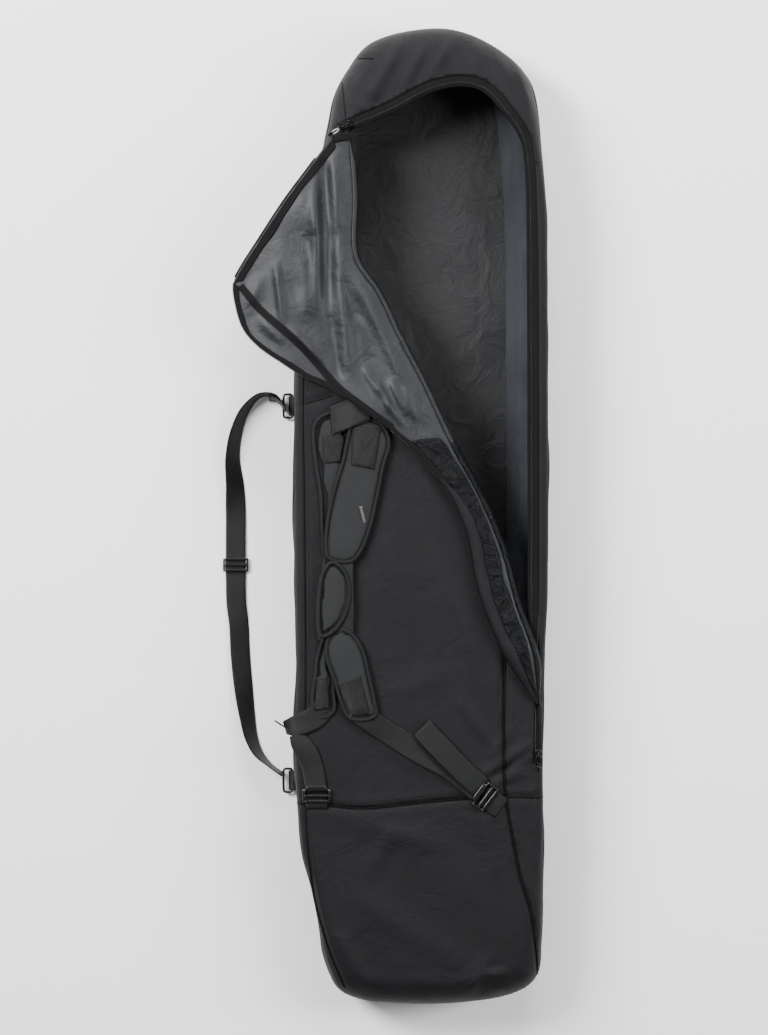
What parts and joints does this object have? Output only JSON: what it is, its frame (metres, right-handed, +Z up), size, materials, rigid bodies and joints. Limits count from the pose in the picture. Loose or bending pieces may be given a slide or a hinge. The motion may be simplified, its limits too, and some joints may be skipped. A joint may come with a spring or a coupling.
{
  "type": "snowboard bag",
  "caption": "Long padded bag for a snowboard, lying on its back with its corner flap folded open, with a lined hollow, shoulder straps and a side carry strap.",
  "frame": {"origin": "middle of the face that the bag lies on", "axes": "+X to the right of the open bag seen from above, +Y towards the nose, +Z up out of the mouth"},
  "size_m": [0.554, 1.6565, 0.166],
  "materials": {
    "zip_coil": "moulded nylon coil",
    "zip_metal": "gloss black",
    "buckle": "moulded, satin",
    "lining": "coated, glossy",
    "foam": "closed-cell padding",
    "pad": "padded plain weave",
    "webbing": "ribbed webbing",
    "trim": "bound tape",
    "label": "woven, blank",
    "shell": "coated plain weave"
  },
  "bodies": {
    "bag": {"back_foam": "foam", "back_lining": "lining", "back_panel": "shell", "cross_piping": "trim", "front_panel": "shell", "gusset_right": "shell", "hood": "shell", "ladder_lock_left": "buckle", "ladder_lock_right": "buckle", "left_piping": "trim", "lock_tab_left": "webbing", "lock_tab_right": "webbing", "right_piping": "trim", "ring_tab_lower": "webbing", "ring_tab_upper": "webbing", "side_rim": "shell", "tail_panel": "shell", "top_anchor_tab": "webbing", "wall_left": "shell", "wall_lining": "lining", "wall_nose": "shell", "wall_right": "shell", "wall_tail": "shell", "zip_coil": "zip_coil", "zip_tape": "trim"},
    "flap": {"flap_shell": "shell", "flap_lining": "lining", "flap_facing": "trim", "flap_seam_tape": "trim", "flap_zip_coil": "zip_coil"},
    "flap_gusset": {"flap_gusset_shell": "shell", "flap_gusset_lining": "lining", "flap_gusset_coil": "zip_coil"},
    "right_strap": {"shoulder_pad_right": "pad", "pad_patch_right": "webbing", "pad_label": "label", "handle_webbing_right": "webbing", "lower_pad_right": "pad", "lower_patch_right": "webbing", "webbing_right": "webbing", "webbing_tail_right": "webbing"},
    "grip_wrap": {"handle_wrap": "pad"},
    "left_strap": {"shoulder_pad_left": "pad", "pad_patch_left": "webbing", "handle_webbing_left": "webbing", "lower_pad_left": "pad", "lower_patch_left": "webbing", "webbing_left": "webbing", "webbing_down_left": "webbing", "webbing_tail_left": "webbing"},
    "carry_sling": {"carry_strap": "webbing", "carry_ring_upper": "buckle", "carry_ring_lower": "buckle"},
    "sling_adjuster": {"tri_glide": "buckle"},
    "upper_slider": {"slider_upper": "zip_metal"},
    "lower_slider": {"slider_lower": "zip_metal"},
    "upper_pull": {"pull_upper": "zip_metal"},
    "lower_pull": {"pull_lower": "zip_metal"}
  },
  "joints": [
    {"name": "flap_fold", "type": "hinge", "parent": "bag", "child": "flap", "pos_m": [-0.13, 0.638, 0.16], "axis": [-0.3476, 0.9376, 0], "range_deg": [0, 178]},
    {"name": "flap_gusset_fold", "type": "hinge", "parent": "flap", "child": "flap_gusset", "pos_m": [-0.142, 0.657, 0.158], "axis": [0.546, 0.8378, 0], "range_deg": [0, 89]},
    {"name": "right_strap_lift", "type": "hinge", "parent": "bag", "child": "right_strap", "pos_m": [-0.048, 0.142, 0.153], "axis": [-0.2585, 0.966, 0], "range_deg": [0, 60]},
    {"name": "left_strap_lift", "type": "hinge", "parent": "bag", "child": "left_strap", "pos_m": [-0.12, 0.142, 0.152], "axis": [0.0515, 0.9987, 0], "range_deg": [0, 30]},
    {"name": "wrap_open", "type": "hinge", "parent": "right_strap", "child": "grip_wrap", "pos_m": [-0.152, -0.08, 0.1605], "axis": [-0.13, -0.9915, 0], "range_deg": [0, 100]},
    {"name": "sling_lift", "type": "hinge", "parent": "bag", "child": "carry_sling", "pos_m": [-0.222, 0.19, 0.0095], "axis": [0, 1, 0], "range_deg": [0, 88]},
    {"name": "sling_adjust", "type": "slide", "parent": "carry_sling", "child": "sling_adjuster", "axis": [0, 1, 0], "range_m": [-0.06, 0.06]},
    {"name": "upper_slide", "type": "slide", "parent": "bag", "child": "upper_slider", "axis": [0.8578, 0.5139, 0], "range_m": [0, 0.05]},
    {"name": "lower_slide", "type": "slide", "parent": "bag", "child": "lower_slider", "axis": [-0.0089, 1, 0], "range_m": [0, 0.9]},
    {"name": "upper_pull_swing", "type": "hinge", "parent": "upper_slider", "child": "upper_pull", "pos_m": [-0.128, 0.654, 0.1568], "axis": [-0.5151, 0.8571, 0], "range_deg": [0, 170]},
    {"name": "lower_pull_swing", "type": "hinge", "parent": "lower_slider", "child": "lower_pull", "pos_m": [0.196, -0.403, 0.1568], "axis": [-1, 0, 0], "range_deg": [0, 170]}
  ],
  "couplings": [
    {"joint": "flap_gusset_fold", "follows": "flap_fold", "ratio": 0.5},
    {"joint": "left_strap_lift", "follows": "right_strap_lift", "ratio": 0.5}
  ]
}
